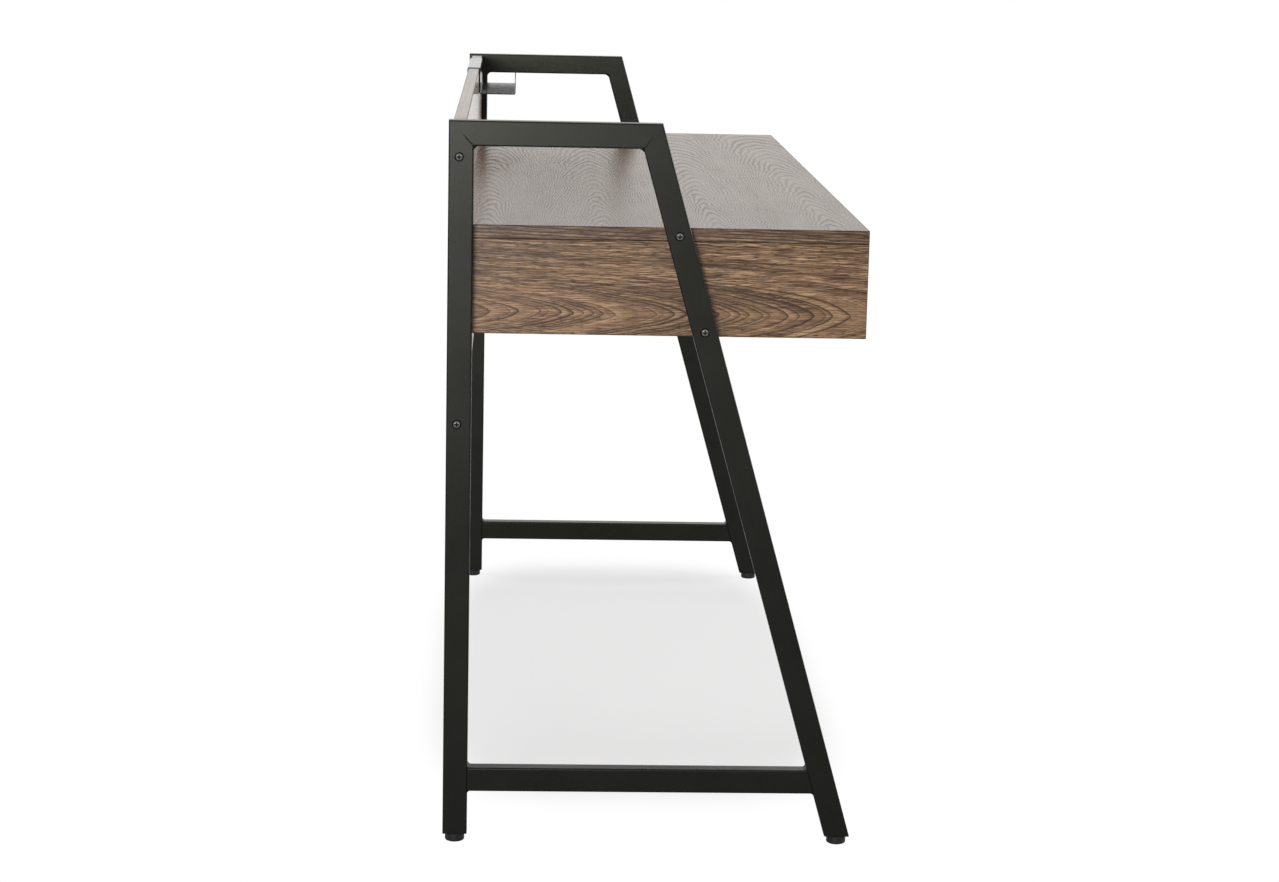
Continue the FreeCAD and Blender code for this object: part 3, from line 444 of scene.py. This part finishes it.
blackZinc = {
    "black": "0e0e0f",
    # colour of the painted highlight on the dome's top
    "paintedHighlight": "83847f",
    "tubeFace": 0.700,       # from the middle of the desk
    "darkBelow": 0.00185,    # above the tube's face
    "paintedHighlightAbove": 0.00225,
    "scuffs": 900.0,         # per metre
    "gloss": (0.16, 0.28),   # roughness between the scuffs and on them
    "bump": 0.15,
    "bumpHeight": 0.00005,
}


def screwMaterial(name):
    material, tree = startMaterial(name)
    places = addNode(tree, "TexCoord").node.outputs["Object"]
    x = addNode(tree, "SeparateXYZ", [places]).node.outputs["X"]
    height = addNode(tree, "Math", [x], operation="ABSOLUTE")
    # painted highlight: the dome's top, from the tube's face outward, takes the bright colour, and the
    # rim and recess keep the black
    paintedHighlight = addNode(tree, "MapRange", {
        "Value": height, 1: blackZinc["tubeFace"] + blackZinc["darkBelow"],
        2: blackZinc["tubeFace"] + blackZinc["paintedHighlightAbove"], 3: 0.0, 4: 1.0})
    scuffs = addNode(tree, "TexNoise", {"Vector": places, "Scale": blackZinc["scuffs"],
                                        "Detail": 3.0})
    tint = addNode(tree, "Mix", {0: paintedHighlight, 6: linearFromHex(blackZinc["black"]),
                                 7: linearFromHex(blackZinc["paintedHighlight"])},
                   data_type="RGBA").node.outputs[2]
    smooth, rough = blackZinc["gloss"]
    shine = addNode(tree, "MapRange", {"Value": scuffs, 1: 0.3, 2: 0.7, 3: smooth, 4: rough})
    bump = addNode(tree, "Bump", {"Strength": blackZinc["bump"],
                                  "Distance": blackZinc["bumpHeight"], "Height": scuffs})
    surface = addNode(tree, "BsdfPrincipled", {
        "Base Color": tint, "Metallic": 1.0, "Roughness": shine, "Normal": bump})
    addNode(tree, "OutputMaterial", {"Surface": surface})
    return material


# Moulded plastic: polypropylene with the mould's fine spark texture.

moulded = {
    "spark": 1600.0,         # per metre
    "cloud": 120.0,          # per metre
    "shade": (0.8, 1.2),     # shares of the colour between the clouds
    "gloss": 0.06,           # what they take from the roughness or add to it
    "specular": 0.35,
    "bump": 0.25,
    "bumpHeight": 0.0001,
}


def plasticMaterial(name, colour, roughness):
    material, tree = startMaterial(name)
    places = addNode(tree, "TexCoord").node.outputs["Object"]
    spark = addNode(tree, "TexNoise", {"Vector": places, "Scale": moulded["spark"], "Detail": 2.0})
    cloud = addNode(tree, "TexNoise", {"Vector": places, "Scale": moulded["cloud"], "Detail": 2.0})
    bump = addNode(tree, "Bump", {"Strength": moulded["bump"], "Distance": moulded["bumpHeight"],
                                  "Height": spark})
    shine = addNode(tree, "MapRange", {"Value": cloud, 1: 0.3, 2: 0.7,
                                       3: roughness - moulded["gloss"],
                                       4: roughness + moulded["gloss"]})
    darker, lighter = [linearFromHex(colour, share) for share in moulded["shade"]]
    tint = addNode(tree, "Mix", {0: cloud, 6: darker, 7: lighter},
                   data_type="RGBA").node.outputs[2]
    surface = addNode(tree, "BsdfPrincipled", {
        "Base Color": tint, "Roughness": shine, "Normal": bump,
        "Specular IOR Level": moulded["specular"]})
    addNode(tree, "OutputMaterial", {"Surface": surface})
    return material


# Bare beech of the dowels: pale, with short dark rays.

bareBeech = {
    "dark": "b08a62",
    "pale": "dcbf98",
    "rays": (1400.0, 1400.0, 120.0),    # per metre along X, Y and Z
    "roughness": 0.6,
    "bump": 0.3,
    "bumpHeight": 0.0001,
}


def beechMaterial(name):
    material, tree = startMaterial(name)
    places = addNode(tree, "TexCoord").node.outputs["Object"]
    stretched = addNode(tree, "Mapping", {"Vector": places, "Scale": bareBeech["rays"]})
    rays = addNode(tree, "TexNoise", {"Vector": stretched, "Scale": 1.0, "Detail": 3.0})
    tint = addNode(tree, "Mix", {0: rays, 6: linearFromHex(bareBeech["dark"]),
                                 7: linearFromHex(bareBeech["pale"])},
                   data_type="RGBA").node.outputs[2]
    bump = addNode(tree, "Bump", {"Strength": bareBeech["bump"],
                                  "Distance": bareBeech["bumpHeight"], "Height": rays})
    surface = addNode(tree, "BsdfPrincipled", {
        "Base Color": tint, "Roughness": bareBeech["roughness"], "Normal": bump})
    addNode(tree, "OutputMaterial", {"Surface": surface})
    return material


# Which piece wears which finish

frameCoat = powderMaterial("satinPowderCoat", "0f0f0d", roughness=0.28, specular=0.20, tint="fffff0")
trayCoat = powderMaterial("trayPowderCoat", "151514", roughness=0.12, specular=0.5)
screwCoat = screwMaterial("blackZincScrew")
zincSteel = zincMaterial("zincPlatedSteel", "b9bcc0", roughness=0.34, scratch=0.5)    # scratch in mm
zincCast = zincMaterial("dieCastZinc", "a4a6a8", roughness=0.5, scratch=1.2)
footPlastic = plasticMaterial("mouldedPolypropylene", "0c0c0c", roughness=0.46)
beech = beechMaterial("bareBeech")

finishes = {
    "cabinet_rail_screws": zincSteel,
    "board_dowels": beech,
    "cam_bolts": zincSteel,
    "cam_locks": zincCast,
    "hooked_tray": trayCoat,
}
for side in ("left", "right"):
    for piece in ("rear_leg", "front_leg", "top_rail", "bottom_rail"):
        finishes[side + "_" + piece] = frameCoat
    for piece in ("rear_leg_plug", "front_leg_plug", "rear_foot", "front_foot"):
        finishes[side + "_" + piece] = footPlastic
    for end in ("left", "right"):
        for piece in ("cabinet_rail", "drawer_rail", "ball_cage"):
            finishes["%s_drawer_%s_%s" % (side, end, piece)] = zincSteel
    finishes[side + "_frame_screws"] = screwCoat
    finishes[side + "_drawer_screws"] = zincSteel
    finishes[side + "_drawer_rail_screws"] = zincSteel
    finishes[side + "_drawer_dowels"] = beech
for node, material in finishes.items():
    dress(node, material)
for node, changes in boardFigures.items():
    dress(node, woodMaterial("walnutMelamine_" + node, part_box(node), changes))
print("CAD nodes dressed")


# Weld metal of the side frames, ground and coated over: a hollow fillet in each inner corner and a
# short ridge on each top mitre. Sizes are millimetres, and the places come from the tubes themselves.

weld = {
    "topCorner": 5.0,        # how far a fillet reaches along both tubes
    "aboveRail": 3.5,
    "belowRail": 3.0,
    "inset": 0.3,            # from the tube's sides to the fillet's ends
    "filletGrid": (56, 14),  # places along the fillet and round its face
    "hollow": 1.7,           # how hollow its face is, 1 is flat
    "swell": 0.25,           # how far the middle of the face stands out of that
    "endRound": 1.6,
    "endSize": 0.25,         # share of its size at the very ends
    "ripple": 0.16,          # height of the ripples along it
    "pitch": 2.2,            # between ripples
    "sunk": 0.25,            # how far the back lies inside the tube faces
    "seamGrid": (48, 9),
    "seamFrom": 0.02,        # shares of the mitre's length, from the inner corner outward
    "seamRise": 0.05,
    "seamTo": 0.48,
    "seamWidth": 2.2,
    "seamHeight": 0.65,
    "seamRipple": 0.25,      # share of its height
    "seamEnd": 0.35,         # share of its width at the very ends
    "seamSunk": 0.1,
}

rearLeg, frontLeg, topRail, bottomRail = [
    1000 * np.array(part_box("right_" + piece))
    for piece in ("rear_leg", "front_leg", "top_rail", "bottom_rail")]
innerSide, outerSide = rearLeg[:, 0]
legFront, legBack = rearLeg[:, 1]
frameTop, railUnder, railTop = topRail[1, 2], bottomRail[0, 2], bottomRail[1, 2]
underTop = topRail[0, 2]
mitreFront = topRail[0, 1]    # where the front leg's outer face meets the frame's top

# the front leg's lean, y over z, and its direction down and up
lean = (mitreFront - frontLeg[0, 1]) / (frontLeg[1, 2] - frontLeg[0, 2])
slant = math.hypot(1, lean)
downLeg = (-lean / slant, -1 / slant)
upLeg = (lean / slant, 1 / slant)


# y of the front leg's inner face at a height
def frontLegInside(z):
    return mitreFront - lean * (frameTop - z) + (legBack - legFront) * slant


# a corner's (y, z), the two directions in which the welded faces leave it, and the fillet's size
fillets = [
    ((legFront, underTop), (-1, 0), (0, -1), weld["topCorner"]),
    ((frontLegInside(underTop), underTop), (1, 0), downLeg, weld["topCorner"]),
    ((legFront, railTop), (-1, 0), (0, 1), weld["aboveRail"]),
    ((legFront, railUnder), (-1, 0), (0, -1), weld["belowRail"]),
    ((frontLegInside(railTop), railTop), (1, 0), upLeg, weld["aboveRail"]),
    ((frontLegInside(railUnder), railUnder), (1, 0), downLeg, weld["belowRail"]),
]
mitres = [
    ((legFront, underTop), (legBack, frameTop)),
    ((frontLegInside(underTop), underTop), (mitreFront, frameTop)),
]


# A ring of points per place along X: the face runs from A to B around the corner, as
# swell x ((1 - s)^hollow A + s^hollow B) with s from 0 to 1 and swell = 1 + share x sin(pi s). A and B
# shrink toward both ends of the bead and carry the ripples, and the back runs inside the tubes.
def filletBead(corner, first, second, size, sign):
    steps, across = weld["filletGrid"]
    low, high = innerSide + weld["inset"], outerSide - weld["inset"]
    x = np.linspace(low, high, steps)
    toEnd = np.minimum(x - low, high - x)
    full = np.sqrt(1 - np.clip(1 - toEnd / weld["endRound"], 0, 1) ** 2)
    reach = size * (weld["endSize"] + (1 - weld["endSize"]) * full)
    reach = (reach + weld["ripple"] * np.cos(2 * np.pi * x / weld["pitch"]))[:, None, None]
    s = np.linspace(0, 1, across)[:, None]
    swell = 1 + weld["swell"] * np.sin(np.pi * s)
    corner, first, second = [np.array(part, float) for part in (corner, first, second)]
    face = (1 - s) ** weld["hollow"] * swell * first + s ** weld["hollow"] * swell * second
    inside = corner - weld["sunk"] * (first + second)
    middle = np.broadcast_to(inside, (steps, 1, 2))
    points = np.empty((steps, across + 3, 3))
    points[:, :, 0] = sign * x[:, None]
    points[:, :, 1:] = np.concatenate(
        [corner + reach * face, inside + reach * second, middle, inside + reach * first], axis=1)
    return points


# A half-round ridge along the mitre on the tube's outer face: centre + width cos(a) sideways and
# height sin(a) outward, with a from 0 to pi, fading out toward its end.
def seamBead(start, stop, sign):
    steps, across = weld["seamGrid"]
    start, stop = np.array(start), np.array(stop)
    length = np.linalg.norm(stop - start)
    along = np.linspace(weld["seamFrom"], weld["seamTo"], steps)
    centre = start + along[:, None] * (stop - start)
    direction = (stop - start) / length
    sideways = np.array([-direction[1], direction[0]])
    fade = np.sqrt(np.clip((weld["seamTo"] - along) / weld["seamTo"], 0, 1))
    fade = fade * np.sqrt(np.clip((along - weld["seamFrom"]) / weld["seamRise"], 0, 1))
    ripples = 1 + weld["seamRipple"] * np.cos(2 * np.pi * along * length / weld["pitch"])
    height = (weld["seamHeight"] * fade * ripples)[:, None]
    width = weld["seamWidth"] / 2 * (weld["seamEnd"] + (1 - weld["seamEnd"]) * fade)[:, None]
    angle = np.linspace(0, np.pi, across)
    points = np.empty((steps, across + 2, 3))
    points[:, :across, 0] = outerSide - weld["seamSunk"] + (height + weld["seamSunk"]) * np.sin(angle)
    points[:, :across, 1:] = centre[:, None] + (width * np.cos(angle))[:, :, None] * sideways
    points[:, across:, 0] = outerSide - weld["sunk"]
    points[:, across, 1:] = centre - width * sideways
    points[:, across + 1, 1:] = centre + width * sideways
    points[:, :, 0] *= sign
    return points


# quads round and along the bead and a fan of triangles over each end
def closedBead(points):
    steps, across = points.shape[:2]
    grid = np.arange(steps * across).reshape(steps, across)
    turned = np.roll(grid, -1, axis=1)
    quads = np.stack([grid[:-1], turned[:-1], turned[1:], grid[1:]], axis=-1).reshape(-1, 4)
    hub = np.full(across, steps * across)
    fans = np.concatenate([np.stack([hub, turned[0], grid[0]], axis=-1),
                           np.stack([hub + 1, grid[-1], turned[-1]], axis=-1)])
    vertices = np.concatenate([points.reshape(-1, 3), points[[0, -1]].mean(axis=1)])
    return vertices, quads, fans


# makes every closed bead's faces look outward
def turnOutward(mesh):
    work = bmesh.new()
    work.from_mesh(mesh)
    bmesh.ops.recalc_face_normals(work, faces=work.faces)
    work.to_mesh(mesh)
    work.free()


def weldBeads(name, sign):
    beads = [filletBead(*fillet, sign) for fillet in fillets]
    beads += [seamBead(*mitre, sign) for mitre in mitres]
    vertices, faces, count = [], [], 0
    for points in beads:
        some, quads, fans = closedBead(points)
        faces += (quads + count).tolist() + (fans + count).tolist()
        vertices.append(some)
        count += len(some)
    mesh = bpy.data.meshes.new(name)
    mesh.from_pydata((np.concatenate(vertices) / 1000).tolist(), [], faces)
    turnOutward(mesh)
    mesh.shade_smooth()
    mesh.materials.append(frameCoat)
    beadObject = bpy.data.objects.new(name, mesh)
    bpy.context.scene.collection.objects.link(beadObject)
    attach(beadObject, "desk")


weldBeads("left_weld_beads", -1)
weldBeads("right_weld_beads", 1)
print("weld beads added")


# Floor, light and camera

room = {
    "floorHalf": 14.0,       # from the middle to the floor's edges
    "floorEnd": 6.0,         # to its far edge, past which glancing faces mirror the backdrop
    "paper": ("ececed", "f0f0f1"),    # between its faint clouds
    "clouds": 3.0,           # per metre
    "nearGlow": 0.53,        # share of the floor under the desk that the camera sees as plain white
    "shadowPatchHalf": (0.60, 0.26),    # half the painted shadow patch under the desk
    "shadowPatchAt": 0.12,     # how far its middle lies from the desk's toward the far end
    "glowFrom": 0.9,         # patch sizes from the middle where the floor starts to turn plain white
    "glowTo": 1.2,           # and where it is
    "ambient": 0.20,         # light from all round
}


# The painted shadow under the desk is a rounded rectangle: its size is (x^4 + y^4)^(1/4), with x and y
# in patch sizes. Inside it the camera sees less plain white and more of the lit paper with its real
# shade.
def plainFloor():
    half, end = room["floorHalf"], room["floorEnd"]
    corners = [(-half, -half, 0), (end, -half, 0), (end, half, 0), (-half, half, 0)]
    mesh = bpy.data.meshes.new("studioFloor")
    mesh.from_pydata(corners, [], [(0, 1, 2, 3)])
    floor = bpy.data.objects.new("studioFloor", mesh)
    bpy.context.scene.collection.objects.link(floor)
    material, tree = startMaterial("paleSeamlessPaper")
    places = addNode(tree, "TexCoord").node.outputs["Object"]
    clouds = addNode(tree, "TexNoise", {"Vector": places, "Scale": room["clouds"], "Detail": 2.0})
    darker, lighter = [linearFromHex(colour) for colour in room["paper"]]
    tint = addNode(tree, "Mix", {0: clouds, 6: darker, 7: lighter},
                   data_type="RGBA").node.outputs[2]
    paper = addNode(tree, "BsdfDiffuse", {"Color": tint})
    glow = addNode(tree, "Emission", {"Color": (1, 1, 1, 1), "Strength": 1.0})
    path = addNode(tree, "LightPath").node.outputs
    # painted shadow: the share of plain white drops inside the patch under the desk
    halfX, halfY = room["shadowPatchHalf"]
    patch = addNode(tree, "Mapping", {"Vector": places, "Scale": (1 / halfX, 1 / halfY, 0.0),
                                      "Location": (-room["shadowPatchAt"] / halfX, 0.0, 0.0)})
    squares = addNode(tree, "VectorMath", [patch, patch], operation="MULTIPLY")
    outward = addNode(tree, "VectorMath", [squares], operation="LENGTH").node.outputs["Value"]
    outward = addNode(tree, "Math", [outward, 0.5], operation="POWER")
    white = addNode(tree, "MapRange", {"Value": outward, 1: room["glowFrom"], 2: room["glowTo"],
                                       3: room["nearGlow"], 4: 1.0},
                    interpolation_type="SMOOTHSTEP")
    share = addNode(tree, "Math", [path["Is Camera Ray"], white], operation="MULTIPLY")
    surface = addNode(tree, "MixShader", {0: share, 1: paper, 2: glow})
    addNode(tree, "OutputMaterial", {"Surface": surface})
    mesh.materials.append(material)


# the camera and mirror-like surfaces see white, and the light from all round is dimmer
def studioWorld():
    world = bpy.data.worlds.new("softStudio")
    bpy.context.scene.world = world
    world.use_nodes = True
    tree = world.node_tree
    tree.nodes.clear()
    path = addNode(tree, "LightPath").node.outputs
    seen = addNode(tree, "Math", [path["Is Camera Ray"], path["Is Glossy Ray"]],
                   operation="MAXIMUM")
    seen = addNode(tree, "Math", [seen, path["Is Transmission Ray"]], operation="MAXIMUM")
    dim, white = [
        addNode(tree, "Background", {"Color": (1.0, 1.0, 1.0, 1.0), "Strength": strength})
        for strength in (room["ambient"], 1.0)]
    surface = addNode(tree, "MixShader", {0: seen, 1: dim, 2: white})
    addNode(tree, "OutputWorld", {"Surface": surface})


softboxes = {
    "keyBehindCamera": {"at": (-5.6, 1.1, 1.05), "towards": (-0.6, 0.0, 0.7),
                        "size": (1.4, 0.5), "watts": 142},
    "overhead": {"at": (-0.4, 0.0, 3.4), "towards": (-0.4, 0.0, 0.7),
                 "size": (2.6, 1.6), "watts": 4},
    "frontFill": {"at": (0.4, -4.0, 1.6), "towards": (0.0, 0.0, 0.6),
                  "size": (3.0, 2.0), "watts": 130},
    "backFill": {"at": (0.6, 4.0, 1.8), "towards": (0.0, 0.0, 0.6),
                 "size": (3.0, 2.0), "watts": 80},
    "rightFill": {"at": (4.6, 0.0, 1.8), "towards": (0.6, 0.0, 0.6),
                  "size": (2.4, 2.0), "watts": 50, "mirrored": False},
}


def softbox(name, at, towards, size, watts, mirrored=True):
    light = bpy.data.lights.new(name, "AREA")
    light.shape = "RECTANGLE"
    light.size, light.size_y = size
    light.energy = watts
    lamp = bpy.data.objects.new(name, light)
    bpy.context.scene.collection.objects.link(lamp)
    lamp.location = at
    lamp.rotation_euler = (Vector(towards) - Vector(at)).to_track_quat("-Z", "Y").to_euler()
    lamp.visible_glossy = mirrored


photographer = {
    "lens": 79.16,           # mm
    "sensor": 36.0,          # mm wide
    "farthest": 60.0,
    "at": (-4.02445, 0.17172, 1.15447),
    "yaw": 0.04575,          # radians, to the desk's front
    "pitch": 0.19195,        # down
    "roll": -0.02253,
}


# looks along +X, turned by yaw to the front, tipped down by pitch and rolled
def standCamera():
    sinYaw, cosYaw = math.sin(photographer["yaw"]), math.cos(photographer["yaw"])
    sinPitch, cosPitch = math.sin(photographer["pitch"]), math.cos(photographer["pitch"])
    sinRoll, cosRoll = math.sin(photographer["roll"]), math.cos(photographer["roll"])
    ahead = Vector((cosPitch * cosYaw, -cosPitch * sinYaw, -sinPitch))
    level = Vector((-sinYaw, -cosYaw, 0))
    upright = Vector((sinPitch * cosYaw, -sinPitch * sinYaw, cosPitch))
    right = cosRoll * level - sinRoll * upright
    up = sinRoll * level + cosRoll * upright
    lens = bpy.data.cameras.new("photographer")
    lens.lens = photographer["lens"]
    lens.sensor_width = photographer["sensor"]
    lens.clip_end = photographer["farthest"]
    camera = bpy.data.objects.new("photographer", lens)
    bpy.context.scene.collection.objects.link(camera)
    turn = Matrix((right, up, -ahead)).transposed()
    camera.matrix_world = Matrix.Translation(photographer["at"]) @ turn.to_4x4()
    bpy.context.scene.camera = camera


plainFloor()
studioWorld()
for name, settings in softboxes.items():
    softbox(name, **settings)
standCamera()
bpy.context.scene.view_settings.view_transform = "Standard"
print("studio ready")
